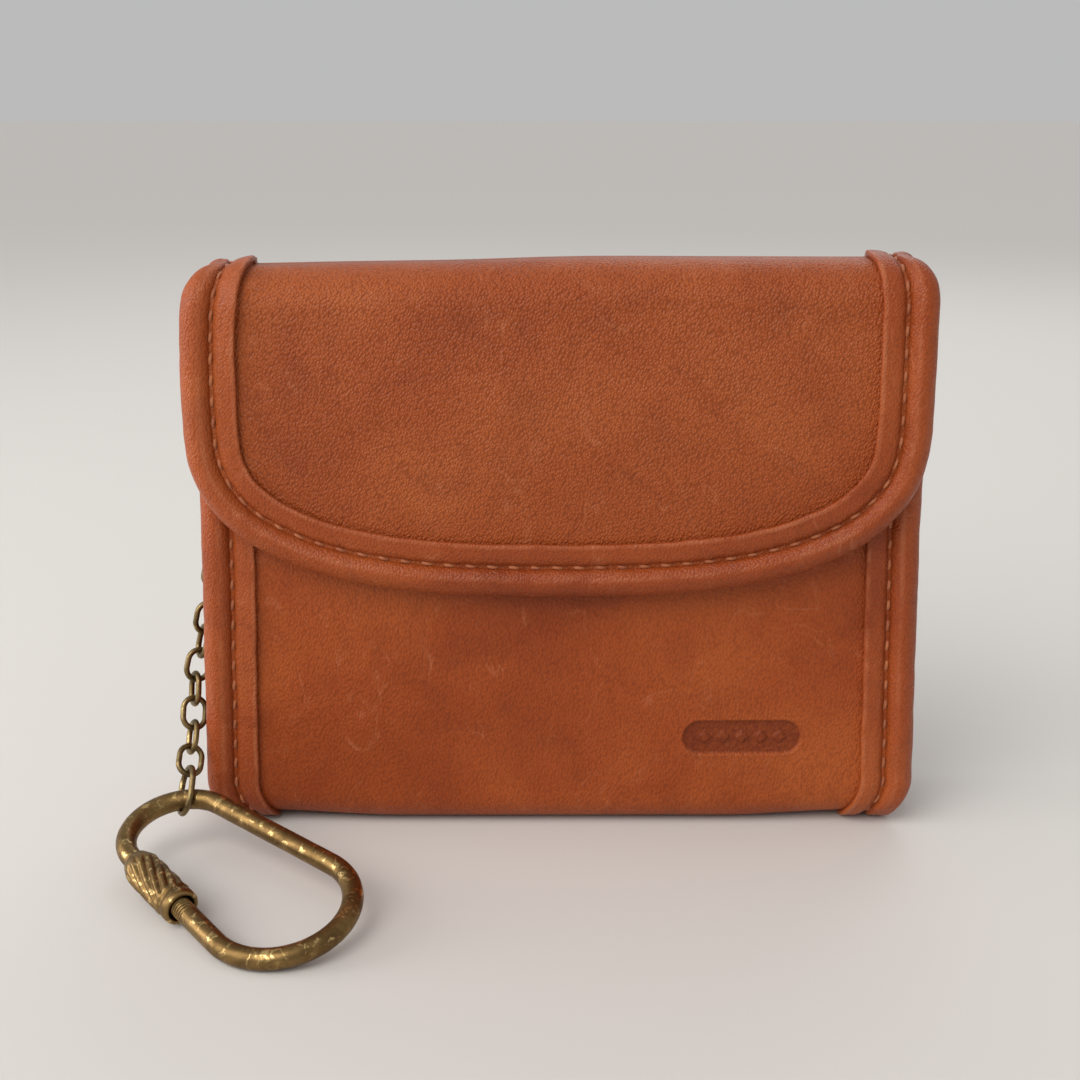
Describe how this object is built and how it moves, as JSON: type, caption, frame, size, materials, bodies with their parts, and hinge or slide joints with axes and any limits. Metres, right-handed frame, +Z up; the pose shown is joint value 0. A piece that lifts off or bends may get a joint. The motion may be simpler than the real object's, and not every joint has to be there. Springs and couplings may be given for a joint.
{
  "type": "coin purse",
  "caption": "Leather flap coin purse with bound and stitched edges, folded side gussets, a hidden snap, and a screw-lock key ring on a short chain.",
  "frame": {"origin": "centre of the flat bottom of the purse body, on the surface it stands on", "axes": "+Z up, -Y out of the flap's front, +X to the right of someone facing the flap"},
  "size_m": [0.1236, 0.062, 0.0913],
  "materials": {
    "leather_body": "fine pebbled glove-tanned leather, soft sheen",
    "leather_binding": "smooth rolled leather binding, glossier bead",
    "leather_lining": "matt suede-like flesh side",
    "thread": "waxed twisted thread",
    "brass_antique": "antiqued, worn bright on high spots"
  },
  "bodies": {
    "purse": {"back_panel": "leather_body", "inner_pocket": "leather_lining", "gusset_left": "leather_body", "gusset_right": "leather_body", "back_binding_left": "leather_binding", "back_binding_right": "leather_binding", "back_thread": "thread", "chain_tab": "leather_binding"},
    "front": {"front_panel": "leather_body", "front_binding_left": "leather_binding", "front_binding_right": "leather_binding", "front_thread": "thread", "snap_stud": "brass_antique", "stud_washer": "brass_antique"},
    "flap": {"flap_panel": "leather_body", "flap_lining": "leather_lining", "flap_binding": "leather_binding", "flap_thread": "thread", "snap_socket": "brass_antique", "socket_cap": "brass_antique"},
    "jump_ring": {"jump_ring": "brass_antique"},
    "link_01": {"link_01": "brass_antique"},
    "link_02": {"link_02": "brass_antique"},
    "link_03": {"link_03": "brass_antique"},
    "link_04": {"link_04": "brass_antique"},
    "link_05": {"link_05": "brass_antique"},
    "link_06": {"link_06": "brass_antique"},
    "link_07": {"link_07": "brass_antique"},
    "link_08": {"link_08": "brass_antique"},
    "link_09": {"link_09": "brass_antique"},
    "link_10": {"link_10": "brass_antique"},
    "link_11": {"link_11": "brass_antique"},
    "link_12": {"link_12": "brass_antique"},
    "link_13": {"link_13": "brass_antique"},
    "end_link": {"end_link": "brass_antique"},
    "key_ring": {"key_ring": "brass_antique"},
    "lock_sleeve": {"lock_sleeve": "brass_antique"}
  },
  "joints": [
    {"name": "flap_hinge", "type": "hinge", "parent": "purse", "child": "flap", "pos_m": [0, 0.00421, 0.08921], "axis": [-1, 0, 0], "range_deg": [0, 150]},
    {"name": "front_hinge", "type": "hinge", "parent": "purse", "child": "front", "pos_m": [0, -0.004, 0.005], "axis": [1, 0, 0], "range_deg": [0, 12], "deforming": ["gusset_left", "gusset_right"]},
    {"name": "jump_ring_swing", "type": "hinge", "parent": "purse", "child": "jump_ring", "pos_m": [-0.0504, -0.00053, 0.06223], "axis": [0.8471, 0.4999, -0.1803], "range_deg": [0, 4]},
    {"name": "link_01_swing", "type": "hinge", "parent": "jump_ring", "child": "link_01", "pos_m": [-0.0514, -0.00053, 0.05753], "axis": [-0.4891, 0.8661, 0.1035], "range_deg": [0, 12]},
    {"name": "link_02_swing", "type": "hinge", "parent": "link_01", "child": "link_02", "pos_m": [-0.05221, -0.00053, 0.05372], "axis": [0.8471, 0.4993, -0.182], "range_deg": [0, 4]},
    {"name": "link_03_swing", "type": "hinge", "parent": "link_02", "child": "link_03", "pos_m": [-0.05302, -0.00055, 0.0499], "axis": [-0.4891, 0.8672, 0.0932], "range_deg": [0, 12]},
    {"name": "link_04_swing", "type": "hinge", "parent": "link_03", "child": "link_04", "pos_m": [-0.05383, -0.00059, 0.04609], "axis": [0.8471, 0.4946, -0.1942], "range_deg": [0, 4]},
    {"name": "link_05_swing", "type": "hinge", "parent": "link_04", "child": "link_05", "pos_m": [-0.05464, -0.0007, 0.04228], "axis": [-0.4891, 0.8704, 0.0564], "range_deg": [0, 12]},
    {"name": "link_06_swing", "type": "hinge", "parent": "link_05", "child": "link_06", "pos_m": [-0.05545, -0.00091, 0.03847], "axis": [0.8473, 0.4813, -0.2248], "range_deg": [0, 4]},
    {"name": "link_07_swing", "type": "hinge", "parent": "link_06", "child": "link_07", "pos_m": [-0.05626, -0.00126, 0.03467], "axis": [-0.4893, 0.8718, -0.0233], "range_deg": [0, 12]},
    {"name": "link_08_swing", "type": "hinge", "parent": "link_07", "child": "link_08", "pos_m": [-0.05706, -0.00182, 0.03089], "axis": [0.8479, 0.4513, -0.2781], "range_deg": [0, 4]},
    {"name": "link_09_swing", "type": "hinge", "parent": "link_08", "child": "link_09", "pos_m": [-0.05785, -0.00262, 0.02716], "axis": [-0.49, 0.8567, -0.1612], "range_deg": [0, 12]},
    {"name": "link_10_swing", "type": "hinge", "parent": "link_09", "child": "link_10", "pos_m": [-0.05863, -0.00376, 0.02351], "axis": [0.866, 0.459, -0.1983], "range_deg": [0, 4]},
    {"name": "link_11_swing", "type": "hinge", "parent": "link_10", "child": "link_11", "pos_m": [-0.05863, -0.0053, 0.01993], "axis": [-0.5, 0.7439, -0.4435], "range_deg": [0, 12]},
    {"name": "link_12_swing", "type": "hinge", "parent": "link_11", "child": "link_12", "pos_m": [-0.05863, -0.0073, 0.01658], "axis": [0.866, 0.385, -0.319], "range_deg": [0, 4]},
    {"name": "link_13_swing", "type": "hinge", "parent": "link_12", "child": "link_13", "pos_m": [-0.05863, -0.00979, 0.01358], "axis": [-0.5, 0.5567, -0.6634], "range_deg": [0, 12]},
    {"name": "end_link_swing", "type": "hinge", "parent": "link_13", "child": "end_link", "pos_m": [-0.05863, -0.01278, 0.01107], "axis": [0.866, 0.3473, -0.3597], "range_deg": [-6, 6]},
    {"name": "key_ring_swing", "type": "hinge", "parent": "end_link", "child": "key_ring", "pos_m": [-0.05863, -0.01576, 0.00819], "axis": [-0.9933, -0.0814, -0.0823], "range_deg": [0, 40]},
    {"name": "sleeve_turn", "type": "hinge", "parent": "key_ring", "child": "lock_sleeve", "pos_m": [-0.05848, -0.03474, 0.00398], "axis": [0.6543, -0.7461, -0.1236], "continuous": true}
  ],
  "couplings": [
    {"joint": "front_hinge", "follows": "flap_hinge", "ratio": 0.08}
  ]
}
